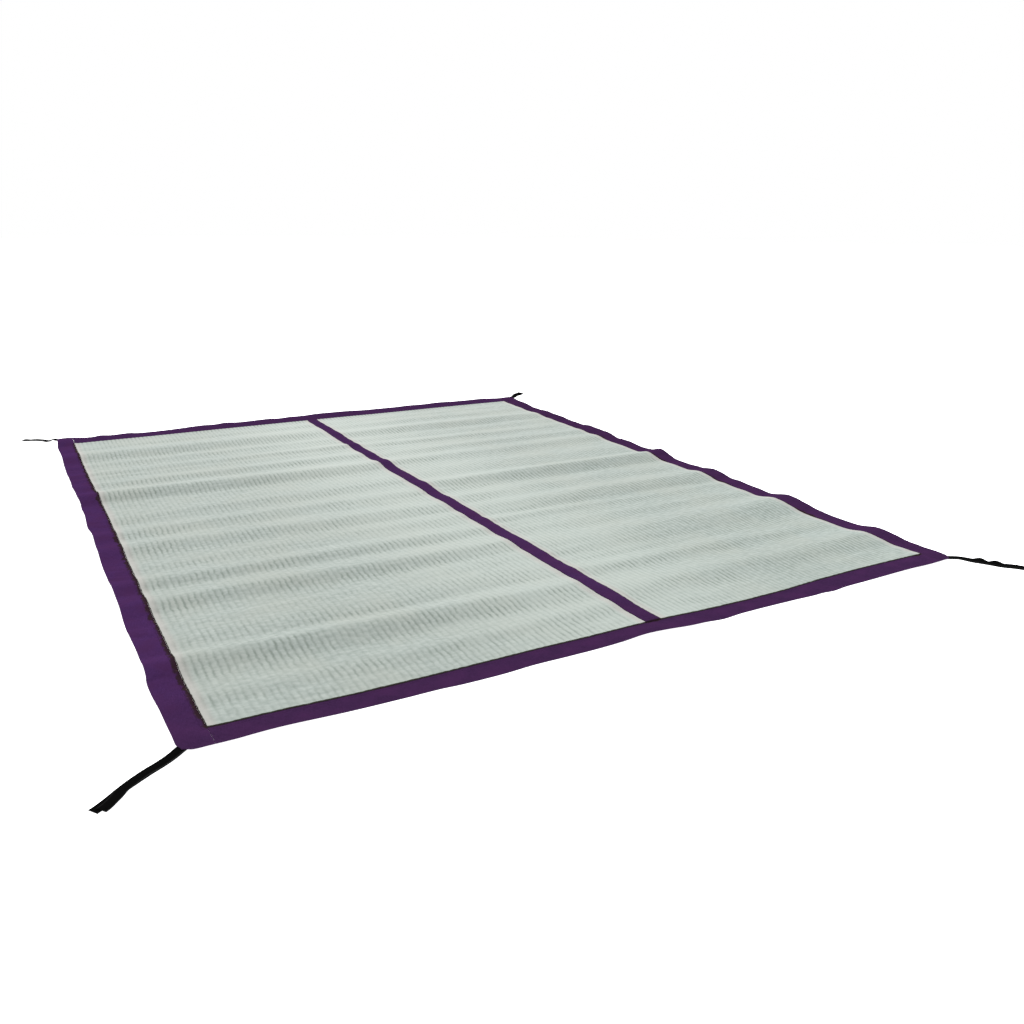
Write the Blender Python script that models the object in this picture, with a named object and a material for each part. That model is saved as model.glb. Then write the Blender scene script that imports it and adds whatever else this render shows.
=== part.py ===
"""A tatami mat laid on a floor: two rush panels, the band that joins them, a cloth border and corner ties.

Metres, +Z up. X runs along the front edge, Y from the front edge to the back one, and the origin lies on the
floor under the middle of the mat. The mat is described flat first, by how far across and along it a point
lies. The sways then bend its long seams a little, and the folds and lifts raise it off the floor.
"""

import math
from collections import namedtuple

import bmesh
import bpy
from mathutils import Matrix, Vector

MM = 0.001

# Driving sizes
MAT_WIDTH = 2.00
MAT_LENGTH = 2.50
LEFT_BORDER = 0.059
RIGHT_BORDER = 0.065
FRONT_BORDER = 0.056
BACK_BORDER = 0.069
BAND_WIDTH = 0.041
PANEL_THICK = 0.0040
BAND_THICK = 0.0046
BORDER_THICK = 0.0018
TAPE_WIDTH = 0.020
TAPE_THICK = 0.0012
GAP = 0.00035
TAPE_GAP = 0.0005

# How finely the pieces are divided
ROW_STEP = 0.025
PANEL_COLUMNS = 7
BORDER_COLUMNS = 2
STEPS_PER_STOP = 2

HALF_WIDTH = MAT_WIDTH / 2
HALF_LENGTH = MAT_LENGTH / 2
PANEL_LEFT = LEFT_BORDER - HALF_WIDTH
PANEL_RIGHT = HALF_WIDTH - RIGHT_BORDER
PANEL_INNER = BAND_WIDTH / 2
PANEL_FRONT = FRONT_BORDER - HALF_LENGTH
PANEL_BACK = HALF_LENGTH - BACK_BORDER

# How far the two long edges and the centre band lie from a straight line
Sway = namedtuple("Sway", "along_m shift_mm")
LEFT_SWAY = (
    Sway(-1.25, -6),
    Sway(-0.95, -10),
    Sway(-0.70, -10),
    Sway(-0.40, -10),
    Sway(0.00, -7),
    Sway(0.30, -6),
    Sway(0.60, -8),
    Sway(0.90, -7),
    Sway(1.25, -3),
)
CENTRE_SWAY = (
    Sway(-1.25, 21),
    Sway(-1.05, 18),
    Sway(-0.65, 12),
    Sway(-0.30, 6),
    Sway(0.00, 2),
    Sway(0.45, 0),
    Sway(0.75, -5),
    Sway(1.25, -3),
)
RIGHT_SWAY = (
    Sway(-1.25, -19),
    Sway(-0.86, -33),
    Sway(-0.54, -25),
    Sway(-0.14, -18),
    Sway(0.10, -20),
    Sway(0.30, -12),
    Sway(0.60, -3),
    Sway(0.90, -4),
    Sway(1.25, 11),
)

# How far the seam along the front strip lies from a straight line, at each line that divides a panel's
# columns, left to right, and how far into the panels that reaches
LEFT_SEAM_MM = (2, 0, -4, -5, -4, -2, -4, -6)
RIGHT_SEAM_MM = (-7, -9, -11, -8, 2, 6, 5, 4)
SEAM_REACH = 0.150

# The folds that cross each panel, front to back. A crest runs from the panel's outer edge over its middle
# to its inner edge, by the band. It rises over the front reach and falls over the back reach.
Fold = namedtuple("Fold", "outer_m middle_m inner_m outer_mm middle_mm inner_mm front_mm back_mm")
LEFT_FOLDS = (
    Fold(-1.075, -1.085, -1.075, 2, 3, 3, 60, 50),
    Fold(-0.910, -0.925, -0.930, 11, 12, 5, 85, 60),
    Fold(-0.805, -0.805, -0.790, 4, 4, 1, 90, 120),
    Fold(-0.575, -0.585, -0.590, 8, 10, 5, 70, 80),
    Fold(-0.435, -0.445, -0.450, 7, 7, 3, 65, 65),
    Fold(-0.330, -0.320, -0.320, 3, 2, 3, 70, 50),
    Fold(-0.160, -0.175, -0.200, 7, 6, 4, 85, 80),
    Fold(-0.025, -0.020, -0.020, 6, 4, 3, 75, 60),
    Fold(0.130, 0.140, 0.140, 2, 3, 2, 110, 100),
    Fold(0.380, 0.365, 0.355, 15, 13, 7, 100, 85),
    Fold(0.525, 0.520, 0.520, 3, 4, 3, 55, 60),
    Fold(0.675, 0.675, 0.670, 3, 3, 5, 45, 50),
    Fold(0.800, 0.800, 0.800, 2, 2, 1, 50, 40),
    Fold(0.945, 0.940, 0.955, 10, 9, 4, 100, 110),
)
RIGHT_FOLDS = (
    Fold(-1.015, -1.010, -1.010, 10, 7, 4, 105, 70),
    Fold(-0.870, -0.870, -0.860, 1, 4, 4, 55, 60),
    Fold(-0.660, -0.655, -0.645, 15, 7, 3, 140, 90),
    Fold(-0.520, -0.510, -0.510, 2, 2, 1, 55, 55),
    Fold(-0.420, -0.405, -0.395, 2, 2, 4, 45, 40),
    Fold(-0.290, -0.280, -0.275, 11, 9, 3, 100, 85),
    Fold(-0.150, -0.140, -0.145, 2, 3, 4, 80, 60),
    Fold(0.010, 0.020, 0.035, 15, 14, 8, 85, 70),
    Fold(0.170, 0.180, 0.170, 3, 4, 2, 150, 85),
    Fold(0.360, 0.365, 0.365, 5, 4, 5, 80, 70),
    Fold(0.480, 0.485, 0.490, 3, 4, 1, 50, 65),
    Fold(0.620, 0.620, 0.650, 1, 4, 2, 50, 60),
    Fold(0.730, 0.730, 0.740, 2, 1, 2, 60, 60),
    Fold(0.850, 0.860, 0.870, 6, 9, 5, 85, 80),
    Fold(1.000, 1.000, 1.000, 2, 3, 2, 60, 90),
)
# Past the inner edge of its own panel, a fold dies out over this distance.
FOLD_FADE = 0.080

# How high the front and back edges stand off the floor, and how far inwards that reaches
Lift = namedtuple("Lift", "across_m rise_mm")
FRONT_LIFT = (
    Lift(-1.00, 0),
    Lift(-0.85, 3),
    Lift(-0.68, 0),
    Lift(-0.20, 0),
    Lift(0.01, 5),
    Lift(0.16, 0),
    Lift(0.60, 0),
    Lift(0.85, 3),
    Lift(1.00, 1),
)
BACK_LIFT = (
    Lift(-1.00, 3),
    Lift(-0.85, 7),
    Lift(-0.65, 5),
    Lift(-0.43, 9),
    Lift(0.12, 11),
    Lift(0.32, 8),
    Lift(0.75, 10),
    Lift(0.92, 6),
    Lift(1.00, 3),
)
FRONT_REACH = 0.120
BACK_REACH = 0.100

# Each corner stands off the floor on its tie, level as far as CORNER_LEVEL from its tip. The tip is turned
# in a little.
CORNER_MM = {"front_left": 6, "front_right": 4, "back_left": 14, "back_right": 4}
CORNER_LEVEL = 0.040
CORNER_REACH = 0.110
CORNER_TURN = 0.006

# A tie is two tapes, one lying on the other, sewn under a corner. The route is the upper tape's, from under
# the corner to the free end: how high the lower tape's underside is, how far the lower tape lies to the
# right, how far the upper one rolls, its left side up, and how far it stands clear of the lower one. The
# upper tape ends some steps before the lower one.
TIE_STACK_MM = (2 * TAPE_THICK + 2 * TAPE_GAP) / MM
Stop = namedtuple("Stop", "x_m y_m rise_mm aside_mm roll_deg apart_mm")
Tie = namedtuple("Tie", "steps_shorter route")
TIES = {
    "front_left": Tie(
        1,
        (
            Stop(-0.9870, -1.2300, CORNER_MM["front_left"] - TIE_STACK_MM, 0, 0, 0),
            Stop(-1.0020, -1.2435, CORNER_MM["front_left"] - TIE_STACK_MM, 0, 0, 0),
            Stop(-1.0190, -1.2575, 1.5, 0, 0, 0),
            Stop(-1.0395, -1.2700, 0, 0, 0, 0),
            Stop(-1.0620, -1.2840, 0, 0, 2, 0.4),
            Stop(-1.0860, -1.3015, 0, 0.5, 0, 0),
            Stop(-1.1010, -1.3150, 0, 2.5, 0, 0),
            Stop(-1.1110, -1.3290, 0, 6.0, 0, 0),
            Stop(-1.1205, -1.3420, 0, 9.0, 3, 0.6),
            Stop(-1.1310, -1.3525, 0, 10.0, 0, 0),
            Stop(-1.1430, -1.3610, 0, 10.0, 0, 0),
        ),
    ),
    "front_right": Tie(
        1,
        (
            Stop(0.9535, -1.2330, CORNER_MM["front_right"] - TIE_STACK_MM, 0, 0, 0),
            Stop(0.9720, -1.2440, CORNER_MM["front_right"] - TIE_STACK_MM, 0, 0, 0),
            Stop(0.9875, -1.2540, 0.5, 0, 0, 0),
            Stop(0.9960, -1.2690, 0, 1.0, 3, 0.6),
            Stop(1.0025, -1.2850, 0, 2.0, 6, 1.2),
            Stop(1.0125, -1.2995, 0, 3.0, 19, 3.6),
            Stop(1.0200, -1.3160, 0, 1.0, 4, 0.8),
            Stop(1.0305, -1.3310, 0, 3.0, 19, 3.6),
            Stop(1.0405, -1.3475, 0, 3.0, 6, 1.2),
            Stop(1.0555, -1.3615, 0, 4.0, 5, 1.0),
            Stop(1.0690, -1.3770, 0, 5.0, 3, 0.6),
            Stop(1.0805, -1.3930, 0, 6.0, 0, 0),
        ),
    ),
    "back_left": Tie(
        1,
        (
            Stop(-0.9860, 1.2300, CORNER_MM["back_left"] - TIE_STACK_MM, 0, 0, 0),
            Stop(-1.0010, 1.2450, CORNER_MM["back_left"] - TIE_STACK_MM, 0, 0, 0),
            Stop(-1.0110, 1.2570, 11.5, 0, 0, 0),
            Stop(-1.0200, 1.2680, 8.0, 0, 0, 0),
            Stop(-1.0280, 1.2820, 0.5, 0, 6, 1.2),
            Stop(-1.0380, 1.2980, 0, 1.0, 19, 3.6),
            Stop(-1.0510, 1.3120, 0, 2.0, 22, 4.2),
            Stop(-1.0665, 1.3230, 0, 3.0, 20, 3.8),
            Stop(-1.0845, 1.3310, 0, 4.0, 15, 2.9),
            Stop(-1.1025, 1.3370, 0, 5.0, 19, 3.6),
            Stop(-1.1205, 1.3440, 0, 6.0, 12, 2.4),
        ),
    ),
    "back_right": Tie(
        1,
        (
            Stop(0.9905, 1.2300, CORNER_MM["back_right"] - TIE_STACK_MM, 0, 0, 0),
            Stop(1.0065, 1.2460, CORNER_MM["back_right"] - TIE_STACK_MM, 0, 0, 0),
            Stop(1.0245, 1.2570, 0.4, 0, 3, 0.6),
            Stop(1.0415, 1.2680, 0, 1.0, 8, 1.6),
            Stop(1.0555, 1.2830, 0, 2.0, 14, 2.7),
            Stop(1.0695, 1.2980, 0, 2.0, 18, 3.4),
            Stop(1.0865, 1.3080, 0, 3.0, 20, 3.8),
            Stop(1.1025, 1.3190, 0, 4.0, 20, 3.8),
            Stop(1.1165, 1.3330, 0, 5.0, 16, 3.1),
            Stop(1.1275, 1.3490, 0, 6.0, 12, 2.4),
        ),
    ),
}

RUSH = ("rush_weave", (0.46, 0.51, 0.45), 0.70)
BORDER_CLOTH = ("purple_border_cloth", (0.070, 0.028, 0.095), 0.85)
TIE_TAPE = ("black_tie_tape", (0.006, 0.006, 0.006), 0.80)


def eased(share):
    """From 0 to 1, with a level start and end."""
    share = min(max(share, 0.0), 1.0)
    return share * share * (3 - 2 * share)


def slope(rows, index):
    """How steeply a two-column table rises over the rows beside one of its own."""
    before, after = rows[max(index - 1, 0)], rows[min(index + 1, len(rows) - 1)]
    return (after[1] - before[1]) / (after[0] - before[0])


def between(rows, at):
    """The second column of a two-column table, at a place along its first, on a curve through its rows."""
    index = next((i for i, row in enumerate(rows[1:-1], 1) if at <= row[0]), len(rows) - 1)
    (start, low), (end, high) = rows[index - 1], rows[index]
    span = end - start
    step = (at - start) / span
    leaving, arriving = slope(rows, index - 1) * span, slope(rows, index) * span
    climb = high - low
    bend = 3 * climb - 2 * leaving - arriving
    twist = leaving + arriving - 2 * climb
    return low + leaving * step + bend * step**2 + twist * step**3


def bowed(outer, middle, inner, share):
    """The value at a share of the way from outer to inner, on the parabola through the three."""
    ends = outer * (1 - share) * (1 - 2 * share) + inner * share * (2 * share - 1)
    return ends + 4 * middle * share * (1 - share)


def fold_rise(fold, share, along):
    """How high one fold lifts the cloth, at a share of the way from its panel's outer edge to its inner."""
    ahead = along - bowed(fold.outer_m, fold.middle_m, fold.inner_m, share)
    reach = (fold.front_mm if ahead < 0 else fold.back_mm) * MM
    height = bowed(fold.outer_mm, fold.middle_mm, fold.inner_mm, share) * MM
    return height * eased(1 - abs(ahead) / reach)


def folds_rise(folds, outer, outwards, along):
    """How high one panel's folds lift the cloth, outwards metres from the mat's middle on its side."""
    share = min(max((outer - outwards) / (outer - PANEL_INNER), 0.0), 1.0)
    fade = eased(1 - (PANEL_INNER - outwards) / FOLD_FADE)
    return fade * sum(fold_rise(fold, share, along) for fold in folds)


def edge_rise(lifts, reach, across, inwards):
    """How high the lift of the front or back edge is, inwards metres from that edge."""
    return max(between(lifts, across), 0.0) * MM * eased(1 - inwards / reach)


def from_tip(across, along):
    """How far a point of the flat mat is from the nearest corner's tip."""
    return math.hypot(HALF_WIDTH - abs(across), HALF_LENGTH - abs(along))


def floor_clearance(across, along):
    """How high the mat's underside lies."""
    rise = folds_rise(LEFT_FOLDS, -PANEL_LEFT, -across, along)
    rise += folds_rise(RIGHT_FOLDS, PANEL_RIGHT, across, along)
    rise += edge_rise(FRONT_LIFT, FRONT_REACH, across, along + HALF_LENGTH)
    rise += edge_rise(BACK_LIFT, BACK_REACH, across, HALF_LENGTH - along)
    corner = ("front" if along < 0 else "back") + ("_left" if across < 0 else "_right")
    held = eased((CORNER_REACH - from_tip(across, along)) / (CORNER_REACH - CORNER_LEVEL))
    return rise + (CORNER_MM[corner] * MM - rise) * held


def seam_shift(across):
    """How far the front seam lies from a straight line, on straight runs between a panel's column lines."""
    if across < 0:
        shifts, start, end = LEFT_SEAM_MM, PANEL_LEFT, -PANEL_INNER
    else:
        shifts, start, end = RIGHT_SEAM_MM, PANEL_INNER, PANEL_RIGHT
    at = min(max((across - start) / (end - start), 0.0), 1.0) * PANEL_COLUMNS
    column = min(int(at), PANEL_COLUMNS - 1)
    return shifts[column] + (shifts[column + 1] - shifts[column]) * (at - column)


def laid(across, along):
    """Where a point of the flat mat's underside comes to lie."""
    outer = LEFT_SWAY if across < 0 else RIGHT_SWAY
    out = abs(across) / HALF_WIDTH
    sway = between(CENTRE_SWAY, along) * (1 - out) + between(outer, along) * out
    past_seam = along - PANEL_FRONT
    near_seam = eased(1 - abs(past_seam) / (SEAM_REACH if past_seam > 0 else FRONT_BORDER))
    shift = seam_shift(across) * near_seam
    turn = CORNER_TURN * eased(1 - from_tip(across, along) / ROW_STEP)
    right = across - math.copysign(turn, across) + sway * MM
    back = along - math.copysign(turn, along) + shift * MM
    return Vector((right, back, floor_clearance(across, along)))


def closed_sheet(name, columns, rows, place, material, parts):
    """A sheet with an underside, a top and a rim, whose points lie where place puts those of a unit slab."""
    shape = bmesh.new()
    bmesh.ops.create_grid(shape, x_segments=columns, y_segments=rows, size=0.5)
    raised = bmesh.ops.extrude_face_region(shape, geom=shape.faces[:], use_keep_orig=True)["geom"]
    top = [piece for piece in raised if isinstance(piece, bmesh.types.BMVert)]
    bmesh.ops.translate(shape, verts=top, vec=(0, 0, 1))
    bmesh.ops.recalc_face_normals(shape, faces=shape.faces)
    for point in shape.verts:
        point.co = place(point.co.x + 0.5, point.co.y + 0.5, point.co.z)
    mesh = bpy.data.meshes.new(name)
    shape.to_mesh(mesh)
    shape.free()
    mesh.shade_smooth()
    mesh.set_sharp_from_angle(angle=math.radians(40))
    mesh.materials.append(material)
    sheet = bpy.data.objects.new(name, mesh)
    parts.objects.link(sheet)
    return sheet


def spaced(start, end, parts):
    """Evenly spaced places from start to end."""
    return [start + (end - start) * i / parts for i in range(parts + 1)]


def mat_piece(name, column_lines, along, thick, material, parts):
    """One flat-cut piece of the mat, from along[0] to along[1], laid on the folds."""
    columns = len(column_lines) - 1
    rows = max(round((along[1] - along[0]) / ROW_STEP), BORDER_COLUMNS)

    def place(right, back, up):
        across = column_lines[round(right * columns)]
        return laid(across, along[0] + (along[1] - along[0]) * back) + Vector((0, 0, thick * up))

    return closed_sheet(name, columns, rows, place, material, parts)


def route_point(route, share):
    """The columns of a route, at a share of the way along it, on a smooth curve through its stops."""
    span = min(int(share * (len(route) - 1)), len(route) - 2)
    step = share * (len(route) - 1) - span
    start, end = Vector(route[span]), Vector(route[span + 1])
    before = Vector(route[span - 1]) if span > 0 else start * 2 - end
    after = Vector(route[span + 2]) if span + 2 < len(route) else end * 2 - start
    leaving, arriving = (end - before) / 2, (after - start) / 2
    turn = (start - end) * 2 + leaving + arriving
    return start + leaving * step + (end * 3 - start * 3 - leaving * 2 - arriving) * step**2 + turn * step**3


def tape(name, tie, upper, material, parts):
    """One tape of a tie: the lower one on the floor, or the upper one, which lies on it."""
    whole = (len(tie.route) - 1) * STEPS_PER_STOP
    steps = whole - (tie.steps_shorter if upper else 0)
    look = 0.01

    def place(right, onwards, up):
        at = onwards * steps / whole
        stop = Stop(*route_point(tie.route, at))
        travel = route_point(tie.route, min(at + look, 1.0)) - route_point(tie.route, max(at - look, 0.0))
        forward = Vector((travel[0], travel[1], travel[2] * MM)).normalized()
        side = forward.cross(Vector((0, 0, 1))).normalized()
        normal = side.cross(forward)
        middle = Vector((stop.x_m, stop.y_m, max(stop.rise_mm, 0.0) * MM))
        if upper:
            middle += normal * (TAPE_THICK + TAPE_GAP + stop.apart_mm * MM)
            side = Matrix.Rotation(math.radians(stop.roll_deg), 3, forward) @ side
            normal = side.cross(forward)
        else:
            middle += side * stop.aside_mm * MM
        return middle + side * TAPE_WIDTH * (right - 0.5) + normal * TAPE_THICK * up

    return closed_sheet(name, 1, steps, place, material, parts)


def finish(name, colour, roughness):
    """A plain cloth-like material."""
    material = bpy.data.materials.new(name)
    material.use_nodes = True
    shader = material.node_tree.nodes["Principled BSDF"]
    shader.inputs["Base Color"].default_value = (*colour, 1)
    shader.inputs["Roughness"].default_value = roughness
    shader.inputs["Metallic"].default_value = 0
    material.diffuse_color = (*colour, 1)
    return material


def panel_lines(columns):
    """The lines across each panel, left and right, that divide it into this many columns."""
    left = spaced(PANEL_LEFT + GAP / 2, -PANEL_INNER - GAP / 2, columns)
    right = spaced(PANEL_INNER + GAP / 2, PANEL_RIGHT - GAP / 2, columns)
    return left, right


def build_panels(parts):
    """The two rush panels, left and right of the band."""
    rush = finish(*RUSH)
    along = (PANEL_FRONT + GAP / 2, PANEL_BACK - GAP / 2)
    left, right = panel_lines(PANEL_COLUMNS)
    mat_piece("panel_left", left, along, PANEL_THICK, rush, parts)
    mat_piece("panel_right", right, along, PANEL_THICK, rush, parts)


def build_cloth(parts):
    """The band between the panels, and the border: the front and back strips fit between the long ones."""
    cloth = finish(*BORDER_CLOTH)
    panel_ends = (PANEL_FRONT + GAP / 2, PANEL_BACK - GAP / 2)
    band = (GAP / 2 - PANEL_INNER, PANEL_INNER - GAP / 2)
    mat_piece("centre_band", band, panel_ends, BAND_THICK, cloth, parts)
    ends = (-HALF_LENGTH, HALF_LENGTH)
    left = spaced(-HALF_WIDTH, PANEL_LEFT - GAP / 2, BORDER_COLUMNS)
    right = spaced(PANEL_RIGHT + GAP / 2, HALF_WIDTH, BORDER_COLUMNS)
    mat_piece("border_left", left, ends, BORDER_THICK, cloth, parts)
    mat_piece("border_right", right, ends, BORDER_THICK, cloth, parts)
    left, right = panel_lines(2 * PANEL_COLUMNS)
    front = (-HALF_LENGTH, PANEL_FRONT - GAP / 2)
    back = (PANEL_BACK + GAP / 2, HALF_LENGTH)
    mat_piece("border_front", left + right, front, BORDER_THICK, cloth, parts)
    mat_piece("border_back", left + right, back, BORDER_THICK, cloth, parts)


def build_ties(parts):
    """Two tapes at each corner."""
    tape_cloth = finish(*TIE_TAPE)
    for corner, tie in TIES.items():
        tape(f"tie_{corner}_lower", tie, False, tape_cloth, parts)
        tape(f"tie_{corner}_upper", tie, True, tape_cloth, parts)


def main():
    for old in list(bpy.data.objects):
        bpy.data.objects.remove(old)
    parts = bpy.data.collections.new("tatami_mat")
    bpy.context.scene.collection.children.link(parts)
    build_panels(parts)
    build_cloth(parts)
    build_ties(parts)


main()
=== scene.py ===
"""The looks of a tatami mat: ribbed rush panels, a cloth band and border, and tape ties at the corners.

Metres, +Z up, in the frame's own place. The mat is described flat, by how far across and along it a point
lies, and the sways, folds and lifts lay it out as its solids lie. Creases, uneven hems, ribs and rounded
rims come on top of that.
"""

import math
from collections import namedtuple

import bmesh
import bpy
import numpy as np
from mathutils import Matrix, Vector, noise


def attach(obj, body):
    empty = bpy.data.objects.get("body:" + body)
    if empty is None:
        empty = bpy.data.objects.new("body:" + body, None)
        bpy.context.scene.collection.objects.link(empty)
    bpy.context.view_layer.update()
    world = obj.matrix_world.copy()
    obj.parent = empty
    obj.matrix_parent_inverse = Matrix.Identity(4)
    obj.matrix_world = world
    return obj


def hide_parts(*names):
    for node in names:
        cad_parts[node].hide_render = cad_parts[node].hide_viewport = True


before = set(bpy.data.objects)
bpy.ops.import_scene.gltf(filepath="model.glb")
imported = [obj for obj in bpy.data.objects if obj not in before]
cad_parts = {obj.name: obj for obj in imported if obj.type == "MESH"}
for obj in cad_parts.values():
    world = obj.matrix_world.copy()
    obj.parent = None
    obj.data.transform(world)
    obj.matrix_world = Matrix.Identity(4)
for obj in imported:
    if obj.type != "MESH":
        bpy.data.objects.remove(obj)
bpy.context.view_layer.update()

MM = 0.001

# The camera stands in front of the mat's left corner and looks over it to the back right
CAMERA_PLACE = (-1.1898, -2.7124, 0.8662)
CAMERA_TURN = math.radians(-29.252)
CAMERA_DIP = math.radians(17.726)
CAMERA_ROLL = math.radians(0.458)
SENSOR_MM = 36
LENS_MM = 32.94
CAMERA_SIGHT = 100

# The mat as it is cut, flat: its size, its border's widths, the band's width, and how thick the pieces are
MAT_WIDTH = 2.00
MAT_LENGTH = 2.50
LEFT_BORDER = 0.059
RIGHT_BORDER = 0.065
FRONT_BORDER = 0.056
BACK_BORDER = 0.069
BAND_WIDTH = 0.041
PANEL_THICK = 0.0040
BAND_THICK = 0.0046
BORDER_THICK = 0.0018
# How far apart the pieces lie
GAP = 0.00035

HALF_WIDTH = MAT_WIDTH / 2
HALF_LENGTH = MAT_LENGTH / 2
PANEL_LEFT = LEFT_BORDER - HALF_WIDTH
PANEL_RIGHT = HALF_WIDTH - RIGHT_BORDER
PANEL_INNER = BAND_WIDTH / 2
PANEL_FRONT = FRONT_BORDER - HALF_LENGTH
PANEL_BACK = HALF_LENGTH - BACK_BORDER

# Where each piece lies in the flat mat, from its left front corner to its right back one, and its thickness
Cut = namedtuple("Cut", "left front right back thick")
CUTS = {
    "panel_left": Cut(PANEL_LEFT, PANEL_FRONT, -PANEL_INNER, PANEL_BACK, PANEL_THICK),
    "panel_right": Cut(PANEL_INNER, PANEL_FRONT, PANEL_RIGHT, PANEL_BACK, PANEL_THICK),
    "centre_band": Cut(-PANEL_INNER, PANEL_FRONT, PANEL_INNER, PANEL_BACK, BAND_THICK),
    "border_left": Cut(-HALF_WIDTH, -HALF_LENGTH, PANEL_LEFT, HALF_LENGTH, BORDER_THICK),
    "border_right": Cut(PANEL_RIGHT, -HALF_LENGTH, HALF_WIDTH, HALF_LENGTH, BORDER_THICK),
    "border_front": Cut(PANEL_LEFT, -HALF_LENGTH, PANEL_RIGHT, PANEL_FRONT, BORDER_THICK),
    "border_back": Cut(PANEL_LEFT, PANEL_BACK, PANEL_RIGHT, HALF_LENGTH, BORDER_THICK),
}

# How far to the right of a straight line the two long edges and the centre band lie
Sway = namedtuple("Sway", "along_m shift_mm")
LEFT_SWAY = (
    Sway(-1.25, -6),
    Sway(-0.95, -10),
    Sway(-0.70, -10),
    Sway(-0.40, -10),
    Sway(0.00, -7),
    Sway(0.30, -6),
    Sway(0.60, -8),
    Sway(0.90, -7),
    Sway(1.25, -3),
)
CENTRE_SWAY = (
    Sway(-1.25, 21),
    Sway(-1.05, 18),
    Sway(-0.65, 12),
    Sway(-0.30, 6),
    Sway(0.00, 2),
    Sway(0.45, 0),
    Sway(0.75, -5),
    Sway(1.25, -3),
)
RIGHT_SWAY = (
    Sway(-1.25, -19),
    Sway(-0.86, -33),
    Sway(-0.54, -25),
    Sway(-0.14, -18),
    Sway(0.10, -20),
    Sway(0.30, -12),
    Sway(0.60, -3),
    Sway(0.90, -4),
    Sway(1.25, 11),
)

# How far behind a straight line the seam along the front strip lies, at the lines that divide a panel's solid
# into columns, left to right, and how far into the panels that reaches
PANEL_COLUMNS = 7
LEFT_SEAM_MM = (2, 0, -4, -5, -4, -2, -4, -6)
RIGHT_SEAM_MM = (-7, -9, -11, -8, 2, 6, 5, 4)
SEAM_REACH = 0.150

# The folds across each panel, from the front one to the back one: how far along the mat the crest lies at the
# panel's outer edge, its middle and its inner edge, by the band, how high it is there, and how far it reaches
# to the front and to the back
Fold = namedtuple("Fold", "outer_m middle_m inner_m outer_mm middle_mm inner_mm front_mm back_mm")
LEFT_FOLDS = (
    Fold(-1.075, -1.085, -1.075, 2, 3, 3, 60, 50),
    Fold(-0.910, -0.925, -0.930, 11, 12, 5, 85, 60),
    Fold(-0.805, -0.805, -0.790, 4, 4, 1, 90, 120),
    Fold(-0.575, -0.585, -0.590, 8, 10, 5, 70, 80),
    Fold(-0.435, -0.445, -0.450, 7, 7, 3, 65, 65),
    Fold(-0.330, -0.320, -0.320, 3, 2, 3, 70, 50),
    Fold(-0.160, -0.175, -0.200, 7, 6, 4, 85, 80),
    Fold(-0.025, -0.020, -0.020, 6, 4, 3, 75, 60),
    Fold(0.130, 0.140, 0.140, 2, 3, 2, 110, 100),
    Fold(0.380, 0.365, 0.355, 15, 13, 7, 100, 85),
    Fold(0.525, 0.520, 0.520, 3, 4, 3, 55, 60),
    Fold(0.675, 0.675, 0.670, 3, 3, 5, 45, 50),
    Fold(0.800, 0.800, 0.800, 2, 2, 1, 50, 40),
    Fold(0.945, 0.940, 0.955, 10, 9, 4, 100, 110),
)
RIGHT_FOLDS = (
    Fold(-1.015, -1.010, -1.010, 10, 7, 4, 105, 70),
    Fold(-0.870, -0.870, -0.860, 1, 4, 4, 55, 60),
    Fold(-0.660, -0.655, -0.645, 15, 7, 3, 140, 90),
    Fold(-0.520, -0.510, -0.510, 2, 2, 1, 55, 55),
    Fold(-0.420, -0.405, -0.395, 2, 2, 4, 45, 40),
    Fold(-0.290, -0.280, -0.275, 11, 9, 3, 100, 85),
    Fold(-0.150, -0.140, -0.145, 2, 3, 4, 80, 60),
    Fold(0.010, 0.020, 0.035, 15, 14, 8, 85, 70),
    Fold(0.170, 0.180, 0.170, 3, 4, 2, 150, 85),
    Fold(0.360, 0.365, 0.365, 5, 4, 5, 80, 70),
    Fold(0.480, 0.485, 0.490, 3, 4, 1, 50, 65),
    Fold(0.620, 0.620, 0.650, 1, 4, 2, 50, 60),
    Fold(0.730, 0.730, 0.740, 2, 1, 2, 60, 60),
    Fold(0.850, 0.860, 0.870, 6, 9, 5, 85, 80),
    Fold(1.000, 1.000, 1.000, 2, 3, 2, 60, 90),
)
# Past the inner edge of its own panel, a fold dies out over this distance
FOLD_FADE = 0.080

# How high the front and back edges stand off the floor, left to right, and how far inwards that reaches
Lift = namedtuple("Lift", "across_m rise_mm")
FRONT_LIFT = (
    Lift(-1.00, 0),
    Lift(-0.85, 3),
    Lift(-0.68, 0),
    Lift(-0.20, 0),
    Lift(0.01, 5),
    Lift(0.16, 0),
    Lift(0.60, 0),
    Lift(0.85, 3),
    Lift(1.00, 1),
)
BACK_LIFT = (
    Lift(-1.00, 3),
    Lift(-0.85, 7),
    Lift(-0.65, 5),
    Lift(-0.43, 9),
    Lift(0.12, 11),
    Lift(0.32, 8),
    Lift(0.75, 10),
    Lift(0.92, 6),
    Lift(1.00, 3),
)
FRONT_REACH = 0.120
BACK_REACH = 0.100

# Each corner stands this high off the floor on its tie, level as far as CORNER_LEVEL from its tip, and that
# ends at CORNER_REACH. The tip is turned in by CORNER_TURN, which ends at CORNER_NEAR.
CORNER_MM = {"front_left": 6, "front_right": 4, "back_left": 14, "back_right": 4}
CORNER_LEVEL = 0.040
CORNER_REACH = 0.110
CORNER_TURN = 0.006
CORNER_NEAR = 0.025

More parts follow.
